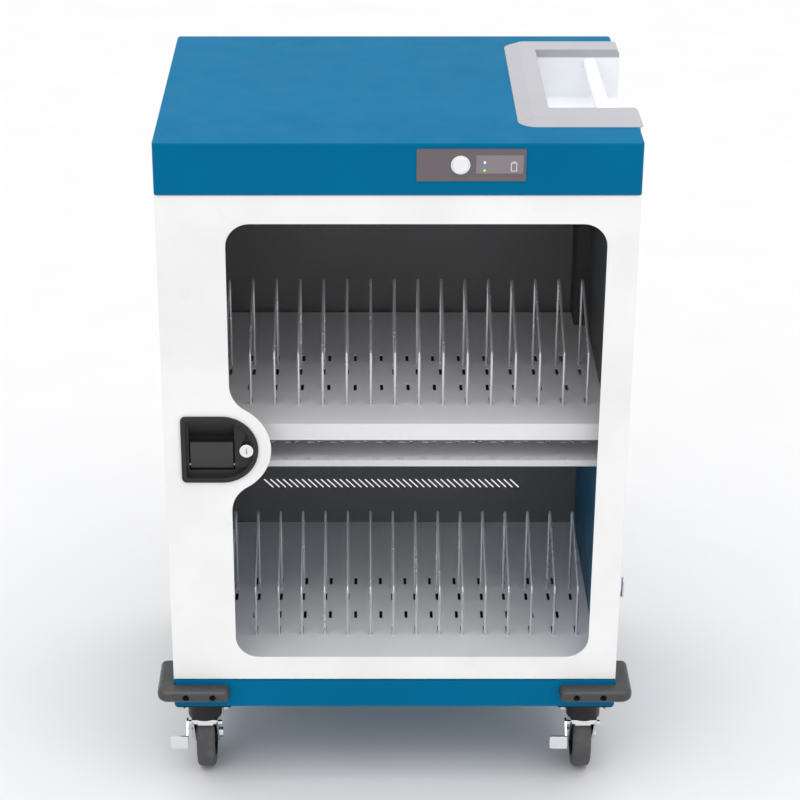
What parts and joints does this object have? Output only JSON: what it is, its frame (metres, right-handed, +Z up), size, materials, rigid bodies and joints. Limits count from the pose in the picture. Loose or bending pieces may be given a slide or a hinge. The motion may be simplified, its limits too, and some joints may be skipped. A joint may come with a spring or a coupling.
{
  "type": "tablet charging cart",
  "caption": "Steel charging cart on casters with a windowed locking door, two shelves of wire dividers for tablets and a push handle let into the top.",
  "frame": {"origin": "on the floor, under the middle of the cart", "axes": "+Z up, +Y to the back, +X to the right seen from the door"},
  "size_m": [0.696, 0.535, 1.0195],
  "materials": {
    "blue_steel": "semi-gloss powder coat",
    "white_steel": "semi-gloss powder coat",
    "grey_steel": "fine satin powder coat",
    "dark_steel": "matt powder coat",
    "wire_chrome": "polished",
    "bright_zinc": "zinc plated",
    "fork_chrome": "polished",
    "black_caster": "satin moulding",
    "tyre_rubber": "smooth tread",
    "bumper_rubber": "satin moulding",
    "lock_plastic": "fine texture",
    "key_metal": "satin",
    "clear_pane": "clear polycarbonate",
    "handle_plastic": "glossy moulding",
    "label_plastic": "printed panel",
    "insert_plastic": "printed panel",
    "lamp_lens": "translucent lens",
    "switch_plastic": "glossy moulding",
    "board_green": "solder mask",
    "hub_plastic": "satin moulding"
  },
  "bodies": {
    "cabinet": {"base_tray": "blue_steel", "left_side_panel": "blue_steel", "right_side_panel": "blue_steel", "left_liner": "blue_steel", "right_liner": "blue_steel", "back_panel": "dark_steel", "cap_floor": "dark_steel", "top_cap": "blue_steel", "handle_housing": "handle_plastic", "grip_bar": "handle_plastic", "label_panel": "label_plastic", "display_insert": "insert_plastic", "status_lamps": "lamp_lens", "power_switch": "switch_plastic", "control_board": "board_green", "power_supply": "bright_zinc", "mains_inlet": "hub_plastic", "upper_shelf": "grey_steel", "lower_shelf": "grey_steel", "cable_tray": "grey_steel", "upper_dividers": "wire_chrome", "lower_dividers": "wire_chrome", "upper_usb_hub": "hub_plastic", "lower_usb_hub": "hub_plastic", "wiring_duct": "dark_steel", "hinge_brackets": "bright_zinc", "strike_plate": "bright_zinc", "corner_bumpers": "bumper_rubber", "bumper_screws": "bright_zinc", "cord_hook": "bright_zinc", "caster_plates": "black_caster", "caster_bolts": "bright_zinc"},
    "door": {"door_panel": "white_steel", "door_window": "clear_pane", "window_retainer": "bright_zinc", "hinge_pins": "bright_zinc", "lock_housing": "lock_plastic", "paddle_pin": "bright_zinc"},
    "paddle": {"paddle": "lock_plastic"},
    "key": {"key_cylinder": "key_metal"},
    "bolt": {"latch_bolt": "bright_zinc"},
    "button": {"power_button": "switch_plastic"},
    "swivel_front_left": {"fork_front_left": "fork_chrome", "axle_front_left": "fork_chrome"},
    "wheel_front_left": {"tyre_front_left": "tyre_rubber", "hub_front_left": "black_caster"},
    "brake_front_left": {"brake_lever_front_left": "fork_chrome"},
    "swivel_front_right": {"fork_front_right": "fork_chrome", "axle_front_right": "fork_chrome"},
    "wheel_front_right": {"tyre_front_right": "tyre_rubber", "hub_front_right": "black_caster"},
    "brake_front_right": {"brake_lever_front_right": "fork_chrome"},
    "swivel_rear_left": {"fork_rear_left": "fork_chrome", "axle_rear_left": "fork_chrome"},
    "wheel_rear_left": {"tyre_rear_left": "tyre_rubber", "hub_rear_left": "black_caster"},
    "swivel_rear_right": {"fork_rear_right": "fork_chrome", "axle_rear_right": "fork_chrome"},
    "wheel_rear_right": {"tyre_rear_right": "tyre_rubber", "hub_rear_right": "black_caster"}
  },
  "joints": [
    {"name": "door_hinge", "type": "hinge", "parent": "cabinet", "child": "door", "pos_m": [0.3145, -0.2325, 0.559], "axis": [0, 0, 1], "range_deg": [0, 120]},
    {"name": "paddle_pivot", "type": "hinge", "parent": "door", "child": "paddle", "pos_m": [-0.25805, -0.234, 0.5318], "axis": [1, 0, 0], "range_deg": [0, 35], "stiffness_Nm_per_rad": 0.2},
    {"name": "key_turn", "type": "hinge", "parent": "door", "child": "key", "pos_m": [-0.2093, -0.2455, 0.5569], "axis": [0, -1, 0], "range_deg": [0, 90]},
    {"name": "bolt_slide", "type": "slide", "parent": "door", "child": "bolt", "axis": [-1, 0, 0], "range_m": [0, 0.012]},
    {"name": "button_press", "type": "slide", "parent": "cabinet", "child": "button", "axis": [0, 1, 0], "range_m": [0, 0.002], "stiffness_N_per_m": 400},
    {"name": "swivel_front_left_turn", "type": "hinge", "parent": "cabinet", "child": "swivel_front_left", "pos_m": [-0.282, -0.2135, 0.116], "axis": [0, 0, 1], "continuous": true},
    {"name": "wheel_front_left_spin", "type": "hinge", "parent": "swivel_front_left", "child": "wheel_front_left", "pos_m": [-0.282, -0.1835, 0.05], "axis": [1, 0, 0], "continuous": true},
    {"name": "brake_front_left_press", "type": "hinge", "parent": "swivel_front_left", "child": "brake_front_left", "pos_m": [-0.282, -0.2205, 0.092], "axis": [1, 0, 0], "range_deg": [0, 25]},
    {"name": "swivel_front_right_turn", "type": "hinge", "parent": "cabinet", "child": "swivel_front_right", "pos_m": [0.282, -0.2135, 0.116], "axis": [0, 0, 1], "continuous": true},
    {"name": "wheel_front_right_spin", "type": "hinge", "parent": "swivel_front_right", "child": "wheel_front_right", "pos_m": [0.282, -0.1835, 0.05], "axis": [1, 0, 0], "continuous": true},
    {"name": "brake_front_right_press", "type": "hinge", "parent": "swivel_front_right", "child": "brake_front_right", "pos_m": [0.282, -0.2205, 0.092], "axis": [1, 0, 0], "range_deg": [0, 25]},
    {"name": "swivel_rear_left_turn", "type": "hinge", "parent": "cabinet", "child": "swivel_rear_left", "pos_m": [-0.282, 0.2135, 0.116], "axis": [0, 0, 1], "continuous": true},
    {"name": "wheel_rear_left_spin", "type": "hinge", "parent": "swivel_rear_left", "child": "wheel_rear_left", "pos_m": [-0.282, 0.1835, 0.05], "axis": [1, 0, 0], "continuous": true},
    {"name": "swivel_rear_right_turn", "type": "hinge", "parent": "cabinet", "child": "swivel_rear_right", "pos_m": [0.282, 0.2135, 0.116], "axis": [0, 0, 1], "continuous": true},
    {"name": "wheel_rear_right_spin", "type": "hinge", "parent": "swivel_rear_right", "child": "wheel_rear_right", "pos_m": [0.282, 0.1835, 0.05], "axis": [1, 0, 0], "continuous": true}
  ],
  "couplings": [
    {"joint": "bolt_slide", "follows": "key_turn", "m_per_rad": 0.0076394}
  ]
}
